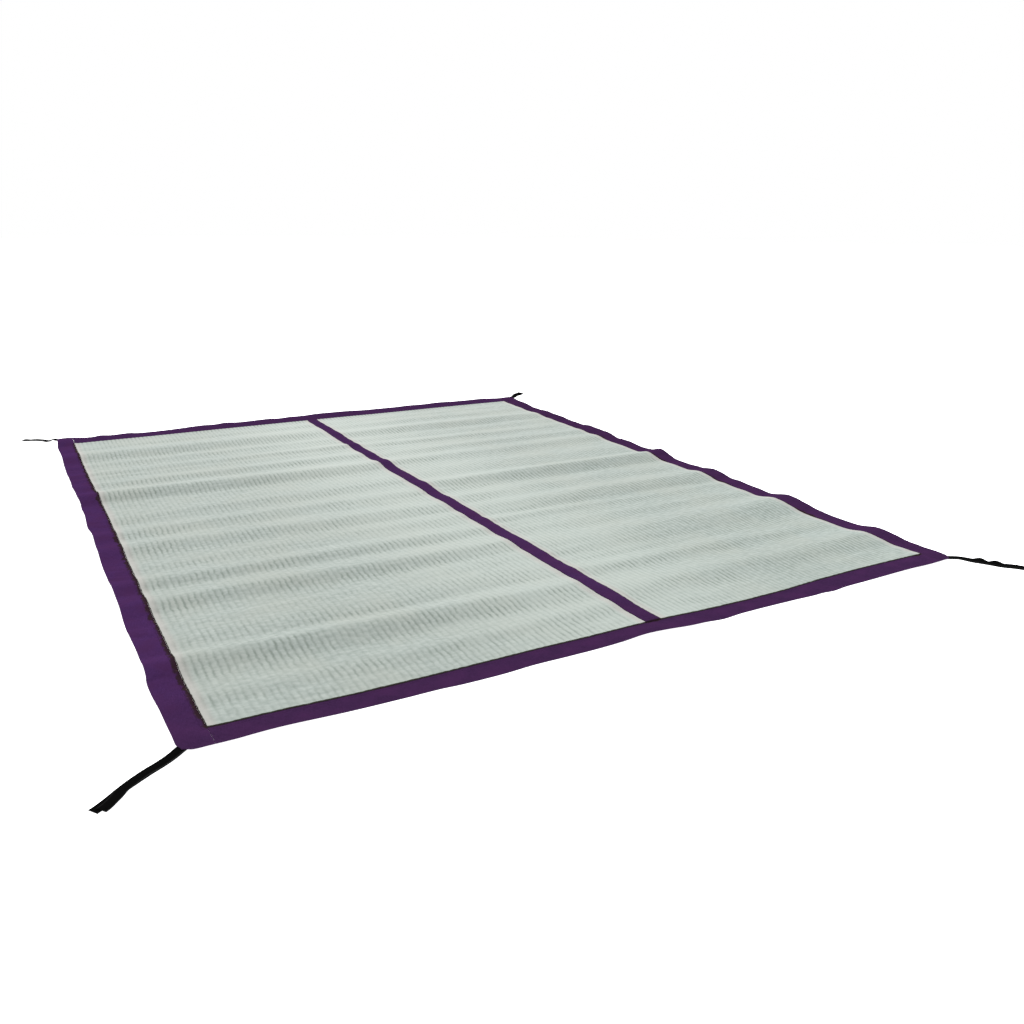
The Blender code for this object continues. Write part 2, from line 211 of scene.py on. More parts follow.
# Lower creases in the panels, between the folds and on them. A height below 0 is a trough.
LEFT_CREASES = (
    Fold(-1.155, -1.150, -1.150, 1.2, 0.3, 1.0, 30, 30),
    Fold(-0.985, -0.990, -0.985, 0.8, 0.5, 0.5, 25, 25),
    Fold(-0.850, -0.845, -0.840, 0.9, 0.7, 0.3, 25, 25),
    Fold(-0.725, -0.715, -0.695, 1.4, 1.3, 1.0, 35, 30),
    Fold(-0.625, -0.640, -0.640, 0.8, 0.4, 0.4, 25, 30),
    Fold(-0.385, -0.375, -0.380, 0.7, 0.9, 0.5, 30, 30),
    Fold(-0.262, -0.265, -0.262, -0.7, -0.7, -0.6, 22, 22),
    Fold(-0.085, -0.085, -0.100, 0.8, 0.6, 0.6, 30, 30),
    Fold(0.055, 0.050, 0.070, -0.6, -0.6, -0.3, 25, 25),
    Fold(0.115, 0.115, 0.120, 0.4, 0.9, 0.4, 30, 25),
    Fold(0.305, 0.290, 0.285, -0.6, -0.9, -0.8, 40, 40),
    Fold(0.615, 0.615, 0.620, 1.4, 0.8, 0.6, 28, 28),
    Fold(0.740, 0.740, 0.745, 0.5, 0.3, 0.6, 30, 30),
    Fold(1.070, 1.080, 1.090, 1.2, 0.8, 1.4, 50, 50),
)
RIGHT_CREASES = (
    Fold(-1.140, -1.130, -1.130, 0.8, 0.5, 0.6, 30, 30),
    Fold(-1.075, -1.070, -1.075, 0.5, -0.4, -0.3, 25, 25),
    Fold(-0.955, -0.950, -0.940, 0.5, 0.4, 0.6, 25, 25),
    Fold(-0.795, -0.790, -0.790, 0.4, 0.6, 1.0, 28, 28),
    Fold(-0.735, -0.725, -0.720, 1.2, 0.6, 1.2, 30, 30),
    Fold(-0.695, -0.690, -0.690, 0.8, 0.2, 0.1, 25, 25),
    Fold(-0.585, -0.560, -0.560, 0.5, 0.7, 0.6, 25, 25),
    Fold(-0.465, -0.460, -0.455, 0.5, 0.4, 0.9, 25, 25),
    Fold(-0.340, -0.330, -0.330, 1.2, 0.9, 0.5, 30, 30),
    Fold(-0.205, -0.200, -0.195, 0.6, 0.7, 0.8, 30, 30),
    Fold(-0.050, -0.045, -0.045, 1.0, 1.3, 1.2, 25, 25),
    Fold(0.080, 0.085, 0.090, 0.8, 1.0, 0.7, 30, 45),
    Fold(0.235, 0.225, 0.225, 0.5, 0.8, 0.4, 35, 30),
    Fold(0.300, 0.310, 0.320, -0.6, -0.4, -0.7, 30, 30),
    Fold(0.440, 0.440, 0.435, 0.5, 0.6, 0.3, 25, 25),
    Fold(0.560, 0.560, 0.565, 0.7, 0.4, 0.7, 30, 30),
    Fold(0.790, 0.800, 0.800, 0.7, 0.6, 0.8, 35, 30),
    Fold(0.920, 0.935, 0.940, 1.0, 0.8, 0.5, 30, 35),
    Fold(1.090, 1.090, 1.090, 1.0, 1.4, 1.0, 45, 45),
)
# Ripples in the rush: how high they are, how long across it and along it, and how far in from the rim they
# are full
RIPPLE = 0.0005
RIPPLE_ACROSS = 0.16
RIPPLE_ALONG = 0.030
RIPPLE_REACH = 0.03

# How the outer edges of the border wander, outwards and up, by how far along the mat or across it they are.
# Towards the rush this dies out with a power of the share of the border's width that is left.
HEM_POWER = 1.5
Hem = namedtuple("Hem", "at_m out_mm rise_mm")
LEFT_HEM = (
    Hem(-1.25, 0.2, 0),
    Hem(-1.12, -0.2, 0),
    Hem(-1.01, 3.2, 0),
    Hem(-0.97, 3.2, 0),
    Hem(-0.94, 0.2, 0),
    Hem(-0.85, -1.2, 0),
    Hem(-0.75, 0.8, 0),
    Hem(-0.69, 2.2, 0),
    Hem(-0.58, 0.2, 0),
    Hem(-0.50, -1.8, 0),
    Hem(-0.40, 0.0, 0),
    Hem(-0.29, 2.0, 0),
    Hem(-0.05, 0.2, 0),
    Hem(0.03, -0.9, 0),
    Hem(0.08, 3.8, 0),
    Hem(0.14, 2.2, 0),
    Hem(0.22, -0.8, 0),
    Hem(0.28, 0.6, 0),
    Hem(0.33, -0.8, 0),
    Hem(0.38, 2.5, 0),
    Hem(0.47, -0.8, 0),
    Hem(0.54, 1.9, 0),
    Hem(0.62, 0.2, 0),
    Hem(0.73, 2.0, 0),
    Hem(0.90, 0.8, 0),
    Hem(1.03, -0.8, 0),
    Hem(1.15, 2.0, 0),
    Hem(1.19, -1.2, 0),
    Hem(1.25, -0.8, 0),
)
FRONT_HEM = (
    Hem(-1.00, 4.0, 0),
    Hem(-0.96, 7.0, 0),
    Hem(-0.90, 1.5, 0),
    Hem(-0.83, -0.7, 0),
    Hem(-0.72, 2.0, 0),
    Hem(-0.60, 4.0, 0),
    Hem(-0.53, 4.0, 0),
    Hem(-0.49, 7.0, 0),
    Hem(-0.40, 7.0, 0),
    Hem(-0.33, 2.0, 0),
    Hem(-0.25, 2.5, 0),
    Hem(-0.12, 1.3, 0),
    Hem(-0.05, -3.0, 0),
    Hem(0.05, 7.8, 0),
    Hem(0.11, 7.0, 0),
    Hem(0.16, 10.0, 0),
    Hem(0.22, 5.0, 0),
    Hem(0.38, 5.0, 0),
    Hem(0.45, 7.3, 0),
    Hem(0.485, 6.3, 0),
    Hem(0.52, 9.2, 0),
    Hem(0.57, 3.6, 0),
    Hem(0.66, 2.0, 0),
    Hem(0.82, 0.3, 0),
    Hem(0.87, 2.0, 0),
    Hem(0.92, 1.0, 0),
    Hem(1.00, 0.0, 0),
)
RIGHT_HEM = (
    Hem(-1.25, -13, 0.2),
    Hem(-1.18, -5, 0.2),
    Hem(-1.12, 0, 1.7),
    Hem(-1.02, 0, 3.2),
    Hem(-0.975, 0, 4.7),
    Hem(-0.93, 0, 1.7),
    Hem(-0.86, 0, 0.2),
    Hem(-0.78, 0, 3.7),
    Hem(-0.70, 0, 2.2),
    Hem(-0.61, 0, 2.6),
    Hem(-0.55, 0, 0.2),
    Hem(-0.45, 0, 3.2),
    Hem(-0.33, 0, 3.2),
    Hem(-0.25, 0, 2.7),
    Hem(-0.20, 0, 2.5),
    Hem(-0.15, 0, -1.8),
    Hem(-0.05, 0, 2.2),
    Hem(0.04, 0, 6.2),
    Hem(0.14, 0, -0.3),
    Hem(0.22, 0, 4.2),
    Hem(0.27, 0, 3.7),
    Hem(0.32, 0, 0.2),
    Hem(0.42, 0, 9.2),
    Hem(0.48, 0, 6.2),
    Hem(0.525, 0, 8.7),
    Hem(0.575, 0, 2.7),
    Hem(0.62, 0, 1.7),
    Hem(0.70, 0, 2.7),
    Hem(0.77, 0, 5.5),
    Hem(0.83, 0, 1.7),
    Hem(0.90, 0, 4.2),
    Hem(0.925, 0, 2.2),
    Hem(0.95, 0, 3.2),
    Hem(1.00, 0, -0.3),
    Hem(1.06, 0, 5.7),
    Hem(1.16, 0, 5.7),
    Hem(1.25, 0, 2.7),
)
BACK_HEM = (
    Hem(-1.00, 0, 0.2),
    Hem(-0.95, 0, 0.2),
    Hem(-0.90, 0, 1.8),
    Hem(-0.865, 0, 1.4),
    Hem(-0.84, 0, 4.2),
    Hem(-0.80, 0, 1.2),
    Hem(-0.735, 0, 4.2),
    Hem(-0.70, 0, 1.1),
    Hem(-0.55, 0, 1.4),
    Hem(-0.45, 0, 3.5),
    Hem(-0.40, 0, 1.8),
    Hem(-0.35, 0, 4.8),
    Hem(-0.30, 0, 0.8),
    Hem(-0.17, 0, 2.2),
    Hem(-0.12, 0, -0.2),
    Hem(-0.08, 0, 1.8),
    Hem(-0.03, 0, 0.9),
    Hem(0.05, 0, 4.2),
    Hem(0.13, 0, 3.9),
    Hem(0.20, 0, 3.8),
    Hem(0.25, 0, 2.4),
    Hem(0.30, 0, 3.0),
    Hem(0.38, 0, 3.0),
    Hem(0.42, 0, 2.8),
    Hem(0.46, 0, 4.2),
    Hem(0.55, 0, 2.5),
    Hem(0.61, 0, 3.9),
    Hem(0.66, 0, 2.8),
    Hem(0.70, 0, 1.2),
    Hem(0.79, 0, 1.1),
    Hem(0.845, 0, 3.5),
    Hem(0.88, 0, 2.0),
    Hem(0.92, 0, 1.6),
    Hem(1.00, 0, 2.2),
)

# The ribs of each panel, between two plain selvedges: the lines across one, as shares of its width, how deep
# the grooves between them are, and the power that makes a rib fuller than an arch
RIBS = 61
SELVEDGE = 0.012
RIB_LINES = (0.0, 0.15, 0.5, 0.85)
RIB_DEPTH = 0.0007
RIB_POWER = 0.7
# The grooves are open on slopes that rise towards the back, and shut to this share on those that fall
OPEN_SLOPE = 0.10
SHUT_SLOPE = -0.09
SHUT_SHARE = 0.3
# A panel's rows of faces, how far in the lines of its rim lie, and how round the rim is
PANEL_ROWS = 180
PANEL_RIM = (0.0, 0.0003, 0.0008, 0.0016, 0.0030)
PANEL_ROUND = 0.0014

# The cloth strips: how long a face is, how far in the lines of their rims lie, and how round the rims are
STRIP_STEP = 0.005
STRIP_RIM = (0.0, 0.0003, 0.0008, 0.0018, 0.0032, 0.0050)
STRIP_ROUND = 0.0008
BAND_ROUND = 0.0018
# How high the middle of the band stands, how high the puckers in the cloth are, and how long they are
BAND_CROWN = 0.0004
PUCKER = 0.0004
PUCKER_LENGTH = 0.022
# The crown, puckers and creases are eased in from the rim: RIM_SHARE of the way is done at the rim itself,
# and a whole way more would take RIM_REACH
RIM_SHARE = 0.3
RIM_REACH = 0.004
# Painted light and shade: how pale each strip is painted, from 0 to 1, by how the light falls on it. Towards
# the mat's front edge it falls, as painted shade, to the share given next of that, over the reach after it.
STRIP_PAINTED_LIGHT = {"centre_band": 0.6, "border_left": 1.0, "border_right": 0.1, "border_front": 0.6, "border_back": 0.5}
FRONT_PAINTED_SHADE = 0.2
FRONT_SHADE_REACH = 0.35
# How far apart stitches begin, the share of that a stitch takes up, how far their row is from the rush, and
# how wide it is each way
STITCH_PITCH = 0.006
STITCH_SHARE = 0.66
STITCHES_AT = 0.0095
STITCHES_WIDE = 0.0006
# How wide the brown thread that strays from the rush over each strip is, with the painted shade beside the
# raised rush, and the places where it is wider, by how far along the mat or across it they are
THREAD_AND_SHADE_MM = {
    "centre_band": 0.0,
    "border_left": 8.0,
    "border_right": 6.0,
    "border_front": 1.2,
    "border_back": 0.8,
}
Stray = namedtuple("Stray", "at_m reach_m wider_mm")
WIDER_THREAD_AND_SHADE = {
    "centre_band": (Stray(0.0, 0.05, 2.0),),
    "border_left": (
        Stray(-1.19, 0.03, 2.0),
        Stray(-0.97, 0.05, 4.5),
        Stray(-0.63, 0.06, 4.0),
        Stray(-0.24, 0.04, 3.5),
        Stray(-0.05, 0.09, 3.5),
        Stray(0.34, 0.04, 5.0),
    ),
    "border_right": (
        Stray(-0.80, 0.09, 11.0),
        Stray(-0.38, 0.10, 11.0),
        Stray(-0.05, 0.07, 10.0),
        Stray(0.36, 0.07, 10.0),
    ),
    "border_front": (
        Stray(-0.93, 0.03, 3.0),
        Stray(-0.60, 0.12, 1.0),
        Stray(0.00, 0.04, 4.0),
        Stray(0.925, 0.03, 6.0),
    ),
    "border_back": (),
}

# The ties: at each corner two tapes, one lying on the other. A tape's top falls by TAPE_EDGE at its sides,
# with a power that keeps the middle flat, and the upper tape ends STEPS_SHORTER sooner.
TAPE_WIDTH = 0.020
TAPE_THICK = 0.0012
TAPE_GAP = 0.0005
TAPE_COLUMNS = 8
TAPE_EDGE = 0.0004
TAPE_EDGE_POWER = 6
TAPE_STEPS_PER_STOP = 8
STEPS_SHORTER = 4
# Which way a tape runs is taken between points this share of its route before and after
ROUTE_LOOK = 0.01
# The route is the upper tape's, from under the corner to its free end, with how high the lower tape's
# underside is, how far the lower tape lies to the right, how far the upper one rolls, its left side up, and
# how much further than TAPE_GAP it stands clear of the lower one
Stop = namedtuple("Stop", "x_m y_m rise_mm aside_mm roll_deg apart_mm")
TIES = {
    "front_left": (
        Stop(-0.9870, -1.2300, 2.6, 0, 0, 0),
        Stop(-1.0020, -1.2435, 2.6, 0, 0, 0),
        Stop(-1.0190, -1.2575, 1.5, 0, 0, 0),
        Stop(-1.0395, -1.2700, 0, 0, 0, 0),
        Stop(-1.0620, -1.2840, 0, 0, 2, 0.4),
        Stop(-1.0860, -1.3015, 0, 0.5, 0, 0),
        Stop(-1.1010, -1.3150, 0, 2.5, 0, 0),
        Stop(-1.1110, -1.3290, 0, 6.0, 0, 0),
        Stop(-1.1205, -1.3420, 0, 9.0, 3, 0.6),
        Stop(-1.1310, -1.3525, 0, 10.0, 0, 0),
        Stop(-1.1430, -1.3610, 0, 10.0, 0, 0),
    ),
    "front_right": (
        Stop(0.9535, -1.2330, 0.6, 0, 0, 0),
        Stop(0.9720, -1.2440, 0.6, 0, 0, 0),
        Stop(0.9875, -1.2540, 0.5, 0, 0, 0),
        Stop(0.9960, -1.2690, 0, 1.0, 3, 0.6),
        Stop(1.0025, -1.2850, 0, 2.0, 6, 1.2),
        Stop(1.0125, -1.2995, 0, 3.0, 19, 3.6),
        Stop(1.0200, -1.3160, 0, 1.0, 4, 0.8),
        Stop(1.0305, -1.3310, 0, 3.0, 19, 3.6),
        Stop(1.0405, -1.3475, 0, 3.0, 6, 1.2),
        Stop(1.0555, -1.3615, 0, 4.0, 5, 1.0),
        Stop(1.0690, -1.3770, 0, 5.0, 3, 0.6),
        Stop(1.0805, -1.3930, 0, 6.0, 0, 0),
    ),
    "back_left": (
        Stop(-0.9860, 1.2300, 10.6, 0, 0, 0),
        Stop(-1.0010, 1.2450, 10.6, 0, 0, 0),
        Stop(-1.0110, 1.2570, 11.5, 0, 0, 0),
        Stop(-1.0200, 1.2680, 8.0, 0, 0, 0),
        Stop(-1.0280, 1.2820, 0.5, 0, 6, 1.2),
        Stop(-1.0380, 1.2980, 0, 1.0, 19, 3.6),
        Stop(-1.0510, 1.3120, 0, 2.0, 22, 4.2),
        Stop(-1.0665, 1.3230, 0, 3.0, 20, 3.8),
        Stop(-1.0845, 1.3310, 0, 4.0, 15, 2.9),
        Stop(-1.1025, 1.3370, 0, 5.0, 19, 3.6),
        Stop(-1.1205, 1.3440, 0, 6.0, 12, 2.4),
    ),
    "back_right": (
        Stop(0.9905, 1.2300, 0.6, 0, 0, 0),
        Stop(1.0065, 1.2460, 0.6, 0, 0, 0),
        Stop(1.0245, 1.2570, 0.4, 0, 3, 0.6),
        Stop(1.0415, 1.2680, 0, 1.0, 8, 1.6),
        Stop(1.0555, 1.2830, 0, 2.0, 14, 2.7),
        Stop(1.0695, 1.2980, 0, 2.0, 18, 3.4),
        Stop(1.0865, 1.3080, 0, 3.0, 20, 3.8),
        Stop(1.1025, 1.3190, 0, 4.0, 20, 3.8),
        Stop(1.1165, 1.3330, 0, 5.0, 16, 3.1),
        Stop(1.1275, 1.3490, 0, 6.0, 12, 2.4),
    ),
}

# Creases across the long border strips: how far along the mat one lies at its outer end, how much further at
# its inner one, the shares of the strip's width between which it runs, how high it stands (a trough is
# below 0), and how far it reaches each way. Its two ends fade over a share of the strip's width.
CREASE_FADE = 0.2
Crease = namedtuple("Crease", "along_m slant_m start end height_mm reach_mm")
CREASES = {
    "border_left": (
        Crease(-0.968, 0.004, 0.0, 0.5, -1.0, 12),
        Crease(-0.744, -0.040, 0.0, 1.0, -0.7, 9),
        Crease(-0.725, -0.030, 0.2, 0.9, 0.7, 12),
        Crease(-0.388, -0.022, 0.1, 1.0, -1.1, 9),
        Crease(-0.366, -0.018, 0.0, 1.0, 1.0, 12),
        Crease(-0.315, -0.012, 0.0, 0.7, -1.0, 9),
        Crease(-0.292, -0.010, 0.1, 0.8, 0.8, 12),
        Crease(0.110, -0.015, 0.0, 0.6, -0.7, 12),
        Crease(0.768, -0.014, 0.0, 0.8, -0.7, 12),
    ),
    "border_right": (
        Crease(-0.600, 0.020, 0.2, 1.0, -0.7, 14),
        Crease(0.090, -0.015, 0.0, 0.8, -0.8, 14),
        Crease(0.550, 0.010, 0.3, 1.0, 0.7, 14),
    ),
}

# Edges sharper than this stay sharp, and all others are smoothed
SHARP = math.radians(50)

# The floor lies a little below the mat, and glows
FLOOR_RADIUS = 30
FLOOR_DROP = 0.0004
FLOOR_GLOW = 1.0
FLOOR_COLOUR = "#f3f3f3"

# The soft main light: how strong it is, how wide it looks, and which way it shines
WINDOW_STRENGTH = 4.4
WINDOW_WIDE = math.radians(30)
WINDOW_WAY = (-0.32, -0.85, -0.42)
# Soft square lamps beside the mat and behind it: where each stands and points, its power and its colour
LAMP_SIZE = 1.0
Lamp = namedtuple("Lamp", "name place target watts colour")
LAMPS = (
    Lamp("side_lamp", (2.4, -1.3, 1.3), (0.6, -0.6, 0.0), 21, "#ecf8ff"),
    Lamp("back_lamp", (-1.2, 3.6, 2.0), (-0.5, 0.6, 0.0), 20, "#ffffff"),
)
SKY_STRENGTH = 1.0


def add(tree, kind, inputs=(), output=0, **settings):
    """A shader node's output. An input is a value or another node's output, by order or by name."""
    made = tree.nodes.new("ShaderNode" + kind)
    for setting, value in settings.items():
        setattr(made, setting, value)
    sockets = [socket for socket in made.inputs if socket.enabled]
    named = {socket.name: socket for socket in sockets}
    for key, value in inputs.items() if isinstance(inputs, dict) else enumerate(inputs):
        socket = sockets[key] if isinstance(key, int) else named[key]
        if isinstance(value, bpy.types.NodeSocket):
            tree.links.new(value, socket)
        else:
            socket.default_value = value
    if isinstance(output, str):
        return made.outputs[output]
    return [socket for socket in made.outputs if socket.enabled][output]


def linear(colour):
    """An sRGB hex colour, turned linear."""
    parts = [int(colour[i : i + 2], 16) / 255 for i in (1, 3, 5)]
    return tuple(p / 12.92 if p <= 0.04045 else ((p + 0.055) / 1.055) ** 2.4 for p in parts) + (1,)


def eased(share):
    """From 0 to 1, with a level start and end."""
    share = np.clip(share, 0, 1)
    return share * share * (3 - 2 * share)


# Materials


def plain(name, roughness, gloss):
    """A new material, its node tree and its shader, of this roughness and share of the usual gloss."""
    material = bpy.data.materials.new(name)
    material.use_nodes = True
    shader = material.node_tree.nodes["Principled BSDF"]
    shader.inputs["Roughness"].default_value = roughness
    shader.inputs["Specular IOR Level"].default_value = gloss
    return material, material.node_tree, shader


def flat_place(tree):
    """The place in the flat cloth, and how far across and along the cloth it is."""
    spot = add(tree, "UVMap", uv_map="cloth")
    return spot, add(tree, "SeparateXYZ", [spot], "X"), add(tree, "SeparateXYZ", [spot], "Y")


def stretched(tree, across, along, scale_across, scale_along):
    """A place in the flat cloth, with as many units to a metre each way as the scales say."""
    across = add(tree, "Math", [across, scale_across], operation="MULTIPLY")
    along = add(tree, "Math", [along, scale_along], operation="MULTIPLY")
    return add(tree, "CombineXYZ", [across, along])


def woven_rush():
    """Woven rush: pale straws side by side across the ribs, matt, darker where the warp pulls them in and by
    painted shade.
    """
    material, tree, shader = plain("woven_rush", roughness=0.8, gloss=0.06)
    spot, across, along = flat_place(tree)
    rib, slope, from_edge, from_side, from_band = (
        add(tree, "Attribute", output="Fac", attribute_name=mark)
        for mark in ("rib", "slope", "from_edge", "from_side", "from_band")
    )

    # Straws 1.4 mm wide are too fine to show, so these are bundles of them, 11 mm wide and 20 mm long, among
    # streaks 25 mm wide and 200 mm long
    bundle = stretched(tree, across, along, 50, 90)
    bundle = add(tree, "TexNoise", {"Vector": bundle, "Scale": 1.0, "Detail": 3.0})
    streak = stretched(tree, across, along, 5, 40)
    streak = add(tree, "TexNoise", {"Vector": streak, "Scale": 1.0, "Detail": 3.0})
    tone = add(tree, "Mix", [0.25, bundle, streak], data_type="FLOAT")
    tone = add(tree, "MapRange", [tone, 0.34, 0.66, 0.0, 1.0])
    colour = add(tree, "Mix", [tone, linear("#828a85"), linear("#959c97")], data_type="RGBA")
    blotch = add(tree, "TexNoise", {"Vector": spot, "Scale": 5.0, "Detail": 3.0})
    blotch = add(tree, "MapRange", [blotch, 0.42, 0.62, 0.0, 0.4])
    colour = add(tree, "Mix", [blotch, colour, linear("#90948c")], data_type="RGBA")
    # Painted light: the rush is paler towards the band, where its folds are lower and less shaded
    painted_light_near_band = add(tree, "MapRange", [from_band, 0.04, 0.55, 0.55, 0.0], interpolation_type="SMOOTHSTEP")
    colour = add(tree, "Mix", [painted_light_near_band, colour, linear("#9da49e")], data_type="RGBA")

    # The grooves between ribs waver and break off, and open where the cloth climbs a fold's front. Their
    # darker colour is partly their own and partly painted shade, most of it on those fronts, which face away
    # from the light
    waver = stretched(tree, across, along, 20, 45)
    waver = add(tree, "TexNoise", {"Vector": waver, "Scale": 1.0, "Detail": 2.0})
    waver = add(tree, "MapRange", [waver, 0.3, 0.7, -0.14, 0.14])
    groove = add(tree, "Math", [add(tree, "Math", [rib, waver]), 0.5], operation="PINGPONG")
    groove = add(tree, "MapRange", [groove, 0.0, 0.34, 1.0, 0.0], interpolation_type="SMOOTHSTEP")
    broken = stretched(tree, across, along, 60, 40)
    broken = add(tree, "TexNoise", {"Vector": broken, "Scale": 1.0, "Detail": 2.0})
    broken = add(tree, "MapRange", [broken, 0.36, 0.60, 0.45, 1.0])
    patch = stretched(tree, across, along, 7, 14)
    patch = add(tree, "TexNoise", {"Vector": patch, "Scale": 1.0, "Detail": 2.0})
    patch = add(tree, "MapRange", [patch, 0.38, 0.60, 0.42, 1.0])
    opened = add(tree, "MapRange", [slope, SHUT_SLOPE, OPEN_SLOPE, 0.32, 1.0],
                 interpolation_type="SMOOTHSTEP")
    opened = add(tree, "Math", [opened, patch], operation="MULTIPLY")
    opened = add(tree, "Math", [opened, broken], operation="MULTIPLY")
    # Painted shade: the groove colour, partly the grooves' own, is laid on most where slopes face away from
    # the light
    sunk = add(tree, "Math", [groove, opened], operation="MULTIPLY")
    colour = add(tree, "Mix", [sunk, colour, linear("#6e7770")], data_type="RGBA")
    # Painted shade: slopes that fall towards the back are painted up to 7% darker than plain shading makes
    # them, as in the photo
    painted_slope_shade = add(tree, "MapRange", [slope, -0.15, -0.02, 0.93, 1.0])
    colour = add(tree, "VectorMath", [colour, painted_slope_shade], operation="MULTIPLY")

    # The selvedges are plainer and a little pink; the dark rim is partly brown thread that whips it and
    # partly painted shade
    selvedge = add(tree, "TexNoise", {"Vector": spot, "Scale": 30.0, "Detail": 2.0})
    selvedge = add(tree, "Math", [selvedge, 0.012, from_side], operation="MULTIPLY_ADD")
    selvedge = add(tree, "MapRange", [selvedge, 0.012, 0.030, 0.65, 0.0], interpolation_type="SMOOTHSTEP")
    colour = add(tree, "Mix", [selvedge, colour, linear("#9a9692")], data_type="RGBA")
    # Whipping thread and painted shade: a dark brown line round the panel's rim
    ragged = add(tree, "TexNoise", {"Vector": spot, "Scale": 60.0, "Detail": 2.0})
    ragged = add(tree, "MapRange", [ragged, 0.35, 0.65, -0.0004, 0.0010])
    rim = add(tree, "Math", [from_edge, ragged], operation="SUBTRACT")
    rim = add(tree, "MapRange", [rim, 0.0003, 0.0009, 0.9, 0.0], interpolation_type="SMOOTHSTEP")
    colour = add(tree, "Mix", [rim, colour, linear("#2c231d")], data_type="RGBA")
    tree.links.new(colour, shader.inputs["Base Color"])

    height = add(tree, "Math", [sunk, -0.5, bundle], operation="MULTIPLY_ADD")
    normal = add(tree, "Bump", {"Strength": 0.3, "Distance": 0.0008, "Height": height})
    tree.links.new(normal, shader.inputs["Normal"])
    return material


def border_cotton():
    """Dyed cotton in a plain weave, quite matt: uneven threads cross it, and wear has paled its edges."""
    material, tree, shader = plain("border_cotton", roughness=0.9, gloss=0.0)
    spot, across, along = flat_place(tree)
    painted_light_share, thread, from_edge, from_rush = (
        add(tree, "Attribute", output="Fac", attribute_name=mark)
        for mark in ("painted_light_share", "thread", "from_edge", "from_rush")
    )

    # Each strip's painted light and shade picks its colour between these two
    colour = add(tree, "Mix", [painted_light_share, linear("#301c37"), linear("#3a2248")], data_type="RGBA")
    # Threads 0.4 mm apart are too fine to show, so only every third or so is drawn
    warp = add(tree, "TexNoise", {"Vector": stretched(tree, across, along, 800, 90), "Scale": 1.0})
    weft = add(tree, "TexNoise", {"Vector": stretched(tree, across, along, 90, 800), "Scale": 1.0})
    weave = add(tree, "Mix", [0.5, warp, weft], data_type="FLOAT")
    tone = add(tree, "MapRange", [weave, 0.38, 0.62, 0.80, 1.20])
    colour = add(tree, "VectorMath", [colour, tone], operation="MULTIPLY")
    mottle = add(tree, "TexNoise", {"Vector": spot, "Scale": 18.0, "Detail": 3.0})
    mottle = add(tree, "MapRange", [mottle, 0.40, 0.65, 0.0, 0.6])
    colour = add(tree, "Mix", [mottle, colour, linear("#3b2041")], data_type="RGBA")
    worn = add(tree, "MapRange", [from_edge, 0.0003, 0.0016, 0.25, 0.0])
    colour = add(tree, "Mix", [worn, colour, linear("#54395f")], data_type="RGBA")

    # Stitches 4 mm long, one every 6 mm, run beside the rush
    stitch = add(tree, "Math", [along, 1 / STITCH_PITCH], operation="MULTIPLY")
    stitch = add(tree, "Math", [stitch], operation="FRACT")
    stitch = add(tree, "Math", [stitch, STITCH_SHARE], operation="LESS_THAN")
    seam = add(tree, "Math", [from_rush, STITCHES_AT, STITCHES_WIDE], operation="COMPARE")
    seam = add(tree, "Math", [stitch, seam], operation="MULTIPLY")
    faint = add(tree, "Math", [seam, 0.5], operation="MULTIPLY")
    colour = add(tree, "Mix", [faint, colour, linear("#241329")], data_type="RGBA")

    # Brown thread and straw ends stray from the rush over the cloth, and the same brown paints shade beside
    # the rush
    ragged = add(tree, "TexNoise", {"Vector": spot, "Scale": 45.0, "Detail": 3.0})
    ragged = add(tree, "MapRange", [ragged, 0.35, 0.65, 0.40, 1.25])
    stray = add(tree, "Math", [thread, ragged], operation="MULTIPLY")
    stray = add(tree, "Math", [stray, from_rush], operation="SUBTRACT")
    stray = add(tree, "MapRange", [stray, -0.0030, 0.0030, 0.0, 0.85], interpolation_type="SMOOTHSTEP")
    straw = add(tree, "TexNoise", {"Vector": spot, "Scale": 150.0, "Detail": 2.0})
    straw = add(tree, "MapRange", [straw, 0.60, 0.70, 0.0, 0.6])
    thread_and_shade_brown = add(tree, "Mix", [straw, linear("#251a18"), linear("#51482c")], data_type="RGBA")
    colour = add(tree, "Mix", [stray, colour, thread_and_shade_brown], data_type="RGBA")
    tree.links.new(colour, shader.inputs["Base Color"])

    height = add(tree, "Math", [seam, -1.0, weave], operation="MULTIPLY_ADD")
    normal = add(tree, "Bump", {"Strength": 0.5, "Distance": 0.0004, "Height": height})
    tree.links.new(normal, shader.inputs["Normal"])
    return material


def tie_tape():
    """Black cotton tape in a close twill, quite matt, with a firm edge each side that is painted paler as a
    highlight.
    """
    material, tree, shader = plain("tie_tape", roughness=0.9, gloss=0.0)
    spot, across, along = flat_place(tree)
    # Twill lines 0.7 mm apart are too fine to show, so these are twice as far apart
    twill = add(tree, "Math", [along, 0.6, across], operation="MULTIPLY_ADD")
    twill = add(tree, "Math", [twill, 1 / 0.0014], operation="MULTIPLY")
    twill = add(tree, "Math", [twill, 0.5], operation="PINGPONG")
    fluff = add(tree, "TexNoise", {"Vector": spot, "Scale": 220.0, "Detail": 3.0})
    tone = add(tree, "Math", [twill, fluff], operation="MULTIPLY")
    tone = add(tree, "MapRange", [tone, 0.05, 0.25, 0.0, 1.0])
    colour = add(tree, "Mix", [tone, linear("#050505"), linear("#0f0f0f")], data_type="RGBA")
    # Painted highlight: each edge of the tape is paler, as if it caught the light
    beside = add(tree, "Math", [across, TAPE_WIDTH / 2], operation="SUBTRACT")
    beside = add(tree, "Math", [beside], operation="ABSOLUTE")
    edge = add(tree, "MapRange", [beside, TAPE_WIDTH / 2 - 0.0018, TAPE_WIDTH / 2 - 0.0006, 0.0, 0.8])
    colour = add(tree, "Mix", [edge, colour, linear("#232323")], data_type="RGBA")
    tree.links.new(colour, shader.inputs["Base Color"])
    height = add(tree, "Math", [twill, fluff])
    normal = add(tree, "Bump", {"Strength": 0.4, "Distance": 0.0003, "Height": height})
    tree.links.new(normal, shader.inputs["Normal"])
    return material


# Shapes


